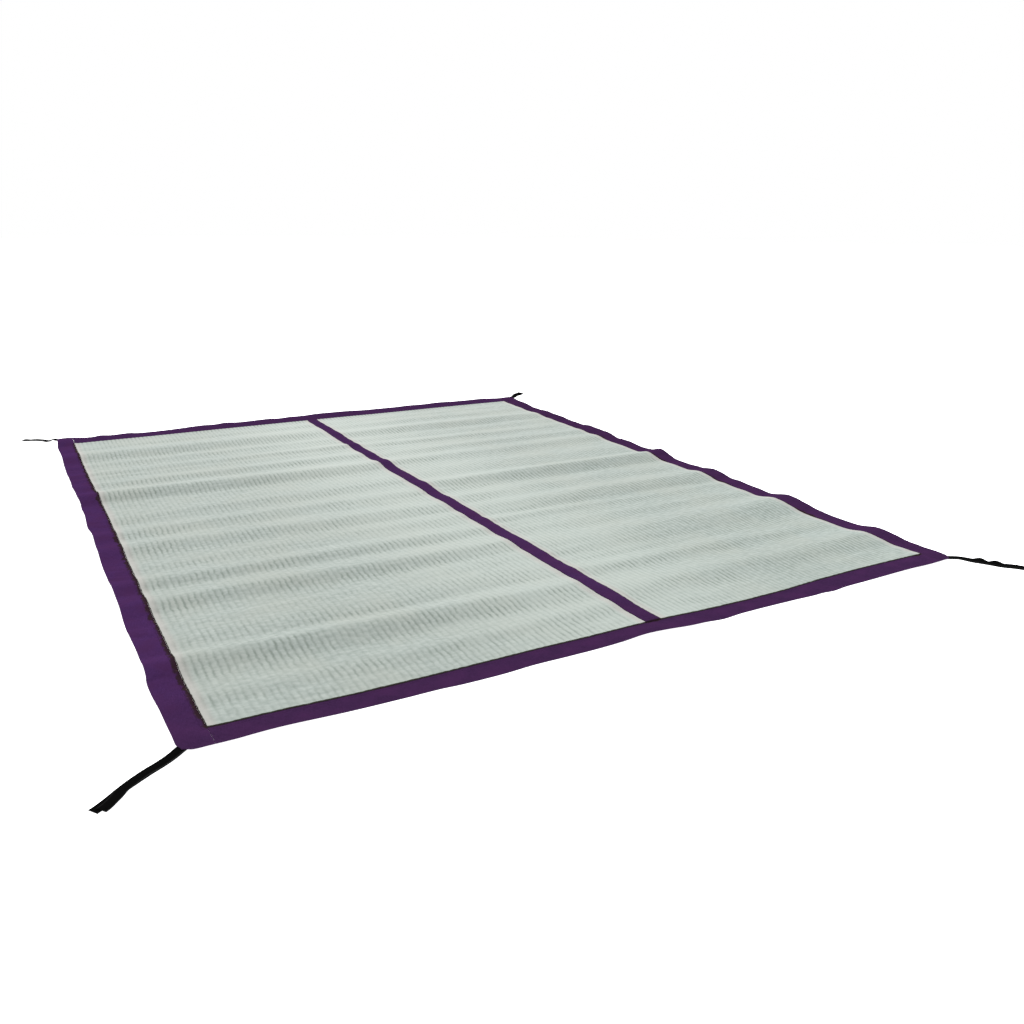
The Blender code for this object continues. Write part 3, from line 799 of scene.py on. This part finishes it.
def between(rows, at):
    """A table's second column at places along its first, on a smooth curve through its rows."""
    places, values = np.array(rows, float).T
    lines = np.arange(len(places))
    before, after = np.maximum(lines - 1, 0), np.minimum(lines + 1, len(places) - 1)
    slopes = (values[after] - values[before]) / (places[after] - places[before])
    end = np.clip(np.searchsorted(places, at), 1, len(places) - 1)
    start = end - 1
    span = places[end] - places[start]
    step = (at - places[start]) / span
    climb = values[end] - values[start]
    leaving, arriving = slopes[start] * span, slopes[end] * span
    bend = 3 * climb - 2 * leaving - arriving
    twist = leaving + arriving - 2 * climb
    return values[start] + leaving * step + bend * step**2 + twist * step**3


def bowed(outer, middle, inner, share):
    """The value at a share of the way from outer to inner, on the parabola through the three."""
    ends = outer * (1 - share) * (1 - 2 * share) + inner * share * (2 * share - 1)
    return ends + 4 * middle * share * (1 - share)


def folds_rise(folds, outer, outwards, along):
    """How high one panel's folds lift the cloth, outwards metres from the mat's middle on its side."""
    share = np.clip((outer - outwards) / (outer - PANEL_INNER), 0, 1)
    rise = 0
    for fold in folds:
        ahead = along - bowed(fold.outer_m, fold.middle_m, fold.inner_m, share)
        reach = np.where(ahead < 0, fold.front_mm, fold.back_mm) * MM
        height = bowed(fold.outer_mm, fold.middle_mm, fold.inner_mm, share) * MM
        rise = rise + height * eased(1 - np.abs(ahead) / reach)
    return rise * eased(1 - (PANEL_INNER - outwards) / FOLD_FADE)


def edge_rise(lifts, reach, across, inwards):
    """How high the lift of the front or back edge is, inwards metres from that edge."""
    return np.maximum(between(lifts, across), 0) * MM * eased(1 - inwards / reach)


def seam_shift(across):
    """How far the front seam lies from a straight line, on straight runs between a panel's column lines."""
    left = np.interp(across, np.linspace(PANEL_LEFT, -PANEL_INNER, PANEL_COLUMNS + 1), LEFT_SEAM_MM)
    right = np.interp(across, np.linspace(PANEL_INNER, PANEL_RIGHT, PANEL_COLUMNS + 1), RIGHT_SEAM_MM)
    return np.where(across < 0, left, right)


def laid(across, along):
    """Where points of the flat mat's underside come to lie."""
    from_tip = np.hypot(HALF_WIDTH - np.abs(across), HALF_LENGTH - np.abs(along))
    rise = folds_rise(LEFT_FOLDS, -PANEL_LEFT, -across, along)
    rise += folds_rise(RIGHT_FOLDS, PANEL_RIGHT, across, along)
    rise += edge_rise(FRONT_LIFT, FRONT_REACH, across, along + HALF_LENGTH)
    rise += edge_rise(BACK_LIFT, BACK_REACH, across, HALF_LENGTH - along)
    front = np.where(across < 0, CORNER_MM["front_left"], CORNER_MM["front_right"])
    back = np.where(across < 0, CORNER_MM["back_left"], CORNER_MM["back_right"])
    held = eased((CORNER_REACH - from_tip) / (CORNER_REACH - CORNER_LEVEL))
    rise += (np.where(along < 0, front, back) * MM - rise) * held

    out = np.abs(across) / HALF_WIDTH
    outer = np.where(across < 0, between(LEFT_SWAY, along), between(RIGHT_SWAY, along))
    sway = (between(CENTRE_SWAY, along) * (1 - out) + outer * out) * MM
    past_seam = along - PANEL_FRONT
    near_seam = eased(1 - np.abs(past_seam) / np.where(past_seam > 0, SEAM_REACH, FRONT_BORDER))
    turn = CORNER_TURN * eased(1 - from_tip / CORNER_NEAR)
    right = across - np.copysign(turn, across) + sway
    back = along - np.copysign(turn, along) + seam_shift(across) * MM * near_seam
    return np.stack([right, back, rise], axis=-1)


def closed_sheet(name, upper, lower, material, flat, marks):
    """A sheet with this top and underside, its flat places as a UV map and its marks as attributes."""
    rows, columns = upper.shape[:2]
    shape = bmesh.new()
    bmesh.ops.create_grid(shape, x_segments=columns - 1, y_segments=rows - 1, size=0.5)
    raised = bmesh.ops.extrude_face_region(shape, geom=shape.faces[:], use_keep_orig=True)["geom"]
    top = [piece for piece in raised if isinstance(piece, bmesh.types.BMVert)]
    bmesh.ops.translate(shape, verts=top, vec=(0, 0, 1))
    bmesh.ops.recalc_face_normals(shape, faces=shape.faces)
    mesh = bpy.data.meshes.new(name)
    shape.to_mesh(mesh)
    shape.free()

    slab = np.empty(len(mesh.vertices) * 3)
    mesh.vertices.foreach_get("co", slab)
    slab = slab.reshape(-1, 3)
    column = np.rint((slab[:, 0] + 0.5) * (columns - 1)).astype(int)
    row = np.rint((slab[:, 1] + 0.5) * (rows - 1)).astype(int)
    is_top = slab[:, 2:] > 0.5
    mesh.vertices.foreach_set("co", np.where(is_top, upper[row, column], lower[row, column]).ravel())
    corners = np.empty(len(mesh.loops), int)
    mesh.loops.foreach_get("vertex_index", corners)
    places = flat[row, column][corners]
    mesh.uv_layers.new(name="cloth").uv.foreach_set("vector", places.ravel())
    for mark, values in marks.items():
        mesh.attributes.new(mark, "FLOAT", "POINT").data.foreach_set("value", values[row, column])
    mesh.shade_smooth()
    mesh.set_sharp_from_angle(angle=SHARP)
    mesh.materials.append(material)
    sheet = bpy.data.objects.new(name, mesh)
    bpy.context.scene.collection.objects.link(sheet)
    return sheet


def rimmed(size, rim, middle):
    """The lines that divide a piece of this size: its rim's, those of its middle, and its other rim's."""
    return np.array([*rim, *middle, *(size - inset for inset in reversed(rim))])


def from_edges(across, along, size):
    """How far each place of a cut piece of this size is from its nearest edge."""
    sides = np.minimum(across, size[0] - across)[None, :]
    ends = np.minimum(along, size[1] - along)[:, None]
    return np.minimum(sides, ends)


def rim_drop(from_edge, radius):
    """How far a rounded rim falls below the piece's top."""
    inwards = np.clip(from_edge / radius, 0, 1)
    return radius * (1 - np.sqrt(1 - (1 - inwards) ** 2))


def unevenness(across, along, stretch_across, stretch_along, seed):
    """Gentle noise from -1 to 1 over a grid of flat places, with bumps of about these lengths."""
    return np.array([
        [noise.noise(Vector((x / stretch_across, y / stretch_along, seed))) for x in across] for y in along
    ])


def cut_size(node):
    """A piece's width and length, out to the middle of the gaps beside it."""
    cut = CUTS[node]
    return cut.right - cut.left, cut.back - cut.front


def hem_shift(across, along):
    """How far places of the flat mat follow the wandering of its border's outer edges."""
    shift = np.zeros((*across.shape, 3))
    for hems, place, share, axis, way in (
        (LEFT_HEM, along, (PANEL_LEFT - across) / LEFT_BORDER, 0, -1),
        (FRONT_HEM, across, (PANEL_FRONT - along) / FRONT_BORDER, 1, -1),
        (RIGHT_HEM, along, (across - PANEL_RIGHT) / RIGHT_BORDER, 0, 1),
        (BACK_HEM, across, (along - PANEL_BACK) / BACK_BORDER, 1, 1),
    ):
        weight = np.clip(share, 0, 1) ** HEM_POWER * MM
        shift[:, :, axis] += way * weight * between([(hem.at_m, hem.out_mm) for hem in hems], place)
        shift[:, :, 2] += weight * between([(hem.at_m, hem.rise_mm) for hem in hems], place)
    return shift


def creased(across, along):
    """Where points of the flat mat's underside come to lie, with its lower creases and its uneven hem."""
    places = laid(across, along) + hem_shift(across, along)
    from_tip = np.hypot(HALF_WIDTH - np.abs(across), HALF_LENGTH - np.abs(along))
    rise = folds_rise(LEFT_CREASES, -PANEL_LEFT, -across, along)
    rise += folds_rise(RIGHT_CREASES, PANEL_RIGHT, across, along)
    places[:, :, 2] += rise * eased(from_tip / CORNER_REACH)
    return places


def lay(node, across, along, relief, lift, round_by, material, marks, swapped=False):
    """A cut piece laid on the folds, with its rim rounded by this radius.

    Its relief thins it from above, and a panel from below too, and its lift raises it off the floor. The
    cloth of a swapped piece runs across the mat.
    """
    cut = CUTS[node]
    width, length = cut_size(node)
    over = cut.left + GAP / 2 + across * (1 - GAP / width)
    onwards = cut.front + GAP / 2 + along * (1 - GAP / length)
    under = creased(*np.broadcast_arrays(over[None, :], onwards[:, None]))
    edge = from_edges(across, along, (width, length))
    under[:, :, 2] = np.maximum(under[:, :, 2] + lift, 0)
    top = under.copy()
    top[:, :, 2] = top[:, :, 2] + cut.thick - relief - rim_drop(edge, round_by)
    if node.startswith("panel"):
        under[:, :, 2] += relief
    flat = np.stack(np.broadcast_arrays(across[None, :], along[:, None]), axis=-1)
    if swapped:
        flat = flat[:, :, ::-1]
    piece = closed_sheet(node + "_cloth", top, under, material, flat, {"from_edge": edge, **marks})
    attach(piece, "root")
    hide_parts(node)
    return piece


def rush_panel(node, material):
    """A rush panel, ribbed on both faces between two plain selvedges."""
    cut = CUTS[node]
    width, length = cut_size(node)
    pitch = (width - 2 * SELVEDGE) / RIBS
    ribs = [SELVEDGE + pitch * (i + share) for i in range(RIBS) for share in RIB_LINES]
    across = rimmed(width, PANEL_RIM, [*ribs, width - SELVEDGE])
    inner = PANEL_RIM[-1]
    step = (length - 2 * inner) / PANEL_ROWS
    along = rimmed(length, PANEL_RIM, [inner + step * i for i in range(1, PANEL_ROWS)])
    rib = (across - SELVEDGE) / pitch
    beside_groove = np.abs(rib - np.rint(rib))
    ribbed = (rib > -0.5) & (rib < RIBS + 0.5)
    sunk = np.where(ribbed, RIB_DEPTH * (1 - np.sin(math.pi * beside_groove) ** RIB_POWER), 0)
    # A selvedge counts as the middle of a rib, so that it has no grooves
    rib = np.where(ribbed, rib, 0.5)
    grid = np.ones((len(along), len(across)))

    over, onwards = np.broadcast_arrays((cut.left + across)[None, :], (cut.front + along)[:, None])
    from_edge = from_edges(across, along, (width, length))
    ripples = RIPPLE * unevenness(across, along, RIPPLE_ACROSS, RIPPLE_ALONG, cut.left)
    lift = ripples * eased(from_edge / RIPPLE_REACH)
    slope = np.gradient(creased(over, onwards)[:, :, 2], along, axis=0)
    opened = eased((slope - SHUT_SLOPE) / (OPEN_SLOPE - SHUT_SLOPE))
    relief = sunk * (SHUT_SHARE + (1 - SHUT_SHARE) * opened)
    marks = {
        "rib": rib * grid,
        "slope": slope,
        "from_side": np.minimum(across, width - across) * grid,
        "from_band": (np.abs(over) - PANEL_INNER) * grid,
    }
    piece = lay(node, across, along, relief, lift, PANEL_ROUND, material, marks)


def creases_rise(node, along, share):
    """How high a long border strip's creases stand over its grid."""
    height = np.zeros((len(along), len(share)))
    for crease in CREASES.get(node, ()):
        ahead = along[:, None] - crease.along_m - crease.slant_m * share[None, :]
        inside = eased((share - crease.start) / CREASE_FADE + 0.5)
        inside = inside * eased((crease.end - share) / CREASE_FADE + 0.5)
        height += crease.height_mm * MM * eased(1 - np.abs(ahead) / (crease.reach_mm * MM)) * inside[None, :]
    return height


def strip_lines(size):
    """The lines that divide a strip's width or length of this size, closer together by its rims."""
    inner = STRIP_RIM[-1]
    steps = round((size - 2 * inner) / STRIP_STEP)
    return rimmed(size, STRIP_RIM, [inner + (size - 2 * inner) * i / steps for i in range(1, steps)])


def strip_lift(node, across, along, crown):
    """How far a strip's crown, puckers and creases lift it over its grid."""
    cut = CUTS[node]
    width, length = cut_size(node)
    share = across / width
    lift = crown * (4 * share * (1 - share))
    lift = lift + PUCKER * unevenness(across, along, PUCKER_LENGTH, PUCKER_LENGTH, cut.left + cut.back)
    lift = lift + creases_rise(node, cut.front + along, 1 - share if node == "border_right" else share)
    return lift * eased(from_edges(across, along, (width, length)) / RIM_REACH + RIM_SHARE)


def strip_marks(node, across, along):
    """How far a strip's places are from the rush, how wide the thread and painted shade there are, and their
    painted light and shade.
    """
    cut = CUTS[node]
    middle = (PANEL_FRONT + PANEL_BACK) / 2
    over, onwards = cut.left + across, cut.front + along
    sideways = np.maximum(PANEL_LEFT - over, over - PANEL_RIGHT)
    # Thread and painted shade stray over the band only from its front end
    endways = along if node == "centre_band" else np.abs(onwards - middle) - (PANEL_BACK - middle)
    from_rush = np.hypot(np.maximum(sideways, 0)[None, :], np.maximum(endways, 0)[:, None])

    grid = np.ones((len(along), len(across)))
    place = onwards[:, None] * grid if node in ("border_left", "border_right") else over[None, :] * grid
    thread = THREAD_AND_SHADE_MM[node] * MM * grid
    for stray in WIDER_THREAD_AND_SHADE[node]:
        thread += stray.wider_mm * MM * eased(1 - np.abs(place - stray.at_m) / stray.reach_m)
    # Painted light and shade: each strip's own paleness, painted darker towards the mat's front edge
    painted_light_share = STRIP_PAINTED_LIGHT[node] * (FRONT_PAINTED_SHADE + (1 - FRONT_PAINTED_SHADE) * eased((onwards + HALF_LENGTH) / FRONT_SHADE_REACH))
    return {"from_rush": from_rush, "thread": thread, "painted_light_share": painted_light_share[:, None] * grid}


def cloth_strip(node, round_by, crown, material):
    """A strip of the border, or the band."""
    width, length = cut_size(node)
    across, along = strip_lines(width), strip_lines(length)
    lift = strip_lift(node, across, along, crown)
    marks = strip_marks(node, across, along)
    piece = lay(node, across, along, 0, lift, round_by, material, marks, swapped=width > length)


def route_points(route, shares):
    """A route's values at shares of the way along it, on a smooth curve through its stops."""
    places = shares * (len(route) - 1)
    return np.stack([between(list(enumerate(column)), places) for column in zip(*route)], axis=-1)


def tape(name, route, upper, material):
    """One tape of a tie: the lower one on the floor, or the upper one, which lies on it and ends sooner."""
    whole = (len(route) - 1) * TAPE_STEPS_PER_STOP
    steps = whole - (STEPS_SHORTER if upper else 0)
    shares = np.arange(steps + 1) / whole
    stops = route_points(route, shares)
    travel = route_points(route, np.minimum(shares + ROUTE_LOOK, 1))
    travel -= route_points(route, np.maximum(shares - ROUTE_LOOK, 0))
    across_shares = np.linspace(0, 1, TAPE_COLUMNS + 1)
    top = np.empty((steps + 1, TAPE_COLUMNS + 1, 3))
    under = top.copy()
    path = []
    for i, (stop, way) in enumerate(zip(stops, travel)):
        x, y, rise, aside, roll, apart = stop
        forward = Vector((way[0], way[1], way[2] * MM)).normalized()
        side = forward.cross(Vector((0, 0, 1))).normalized()
        normal = side.cross(forward)
        middle = Vector((x, y, max(rise, 0) * MM))
        if upper:
            middle += normal * (TAPE_THICK + TAPE_GAP + apart * MM)
            side = Matrix.Rotation(math.radians(roll), 3, forward) @ side
            normal = side.cross(forward)
        else:
            middle += side * aside * MM
        path.append(middle + normal * TAPE_THICK / 2)
        for j, share in enumerate(across_shares):
            thinned = TAPE_EDGE * abs(2 * share - 1) ** TAPE_EDGE_POWER
            place = middle + side * TAPE_WIDTH * (share - 0.5)
            top[i, j] = place + normal * (TAPE_THICK - thinned)
            under[i, j] = place
    run = np.concatenate([[0], np.cumsum([(b - a).length for a, b in zip(path, path[1:])])])
    flat = np.stack(np.broadcast_arrays(across_shares[None, :] * TAPE_WIDTH, run[:, None]), axis=-1)
    piece = closed_sheet(name + "_tape", top, under, material, flat, {})
    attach(piece, "root")
    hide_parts(name)


# The scene


def camera():
    """The camera, where the photo was taken from."""
    data = bpy.data.cameras.new("camera")
    data.sensor_width = SENSOR_MM
    data.lens = LENS_MM
    data.clip_end = CAMERA_SIGHT
    eye = bpy.data.objects.new("camera", data)
    turn = Matrix.Rotation(CAMERA_TURN, 4, "Z") @ Matrix.Rotation(math.pi / 2 - CAMERA_DIP, 4, "X")
    eye.matrix_world = Matrix.Translation(CAMERA_PLACE) @ turn @ Matrix.Rotation(CAMERA_ROLL, 4, "Z")
    bpy.context.scene.collection.objects.link(eye)
    bpy.context.scene.camera = eye


def ties():
    """The two tapes at each corner."""
    black = tie_tape()
    for corner, route in TIES.items():
        tape(f"tie_{corner}_lower", route, False, black)
        tape(f"tie_{corner}_upper", route, True, black)


def cloth():
    """The two rush panels, the band between them and the border round them."""
    rush = woven_rush()
    rush_panel("panel_left", rush)
    rush_panel("panel_right", rush)
    cotton = border_cotton()
    cloth_strip("centre_band", BAND_ROUND, BAND_CROWN, cotton)
    for side in ("left", "right", "front", "back"):
        cloth_strip("border_" + side, STRIP_ROUND, 0, cotton)


def floor():
    """A round floor in white paint, quite matt, whose glow leaves it white all over."""
    shape = bmesh.new()
    bmesh.ops.create_circle(shape, cap_ends=True, segments=64, radius=FLOOR_RADIUS)
    mesh = bpy.data.meshes.new("floor")
    shape.to_mesh(mesh)
    shape.free()
    mesh.transform(Matrix.Translation((0, 0, -FLOOR_DROP)))
    material, _, shader = plain("floor_paint", roughness=0.9, gloss=0.5)
    shader.inputs["Base Color"].default_value = linear(FLOOR_COLOUR)
    shader.inputs["Emission Color"].default_value = linear("#ffffff")
    shader.inputs["Emission Strength"].default_value = FLOOR_GLOW
    mesh.materials.append(material)
    round_floor = bpy.data.objects.new("floor", mesh)
    bpy.context.scene.collection.objects.link(round_floor)


def light(name, kind, place, way):
    """A light of this kind that stands here and shines this way."""
    data = bpy.data.lights.new(name, kind)
    lamp = bpy.data.objects.new(name, data)
    lamp.matrix_world = Matrix.Translation(place) @ way.to_track_quat("-Z", "Y").to_matrix().to_4x4()
    bpy.context.scene.collection.objects.link(lamp)
    return data


def lighting():
    """The soft main light, the lamps and an evenly white sky."""
    window = light("window", "SUN", (0, 0, 0), Vector(WINDOW_WAY))
    window.energy = WINDOW_STRENGTH
    window.angle = WINDOW_WIDE
    for lamp in LAMPS:
        panel = light(lamp.name, "AREA", lamp.place, Vector(lamp.target) - Vector(lamp.place))
        panel.size = LAMP_SIZE
        panel.energy = lamp.watts
        panel.color = linear(lamp.colour)[:3]
    world = bpy.data.worlds.new("studio")
    world.use_nodes = True
    sky = world.node_tree.nodes["Background"]
    sky.inputs["Color"].default_value = linear("#ffffff")
    sky.inputs["Strength"].default_value = SKY_STRENGTH
    bpy.context.scene.world = world
    bpy.context.scene.view_settings.view_transform = "Standard"


camera()
ties()
cloth()
floor()
lighting()
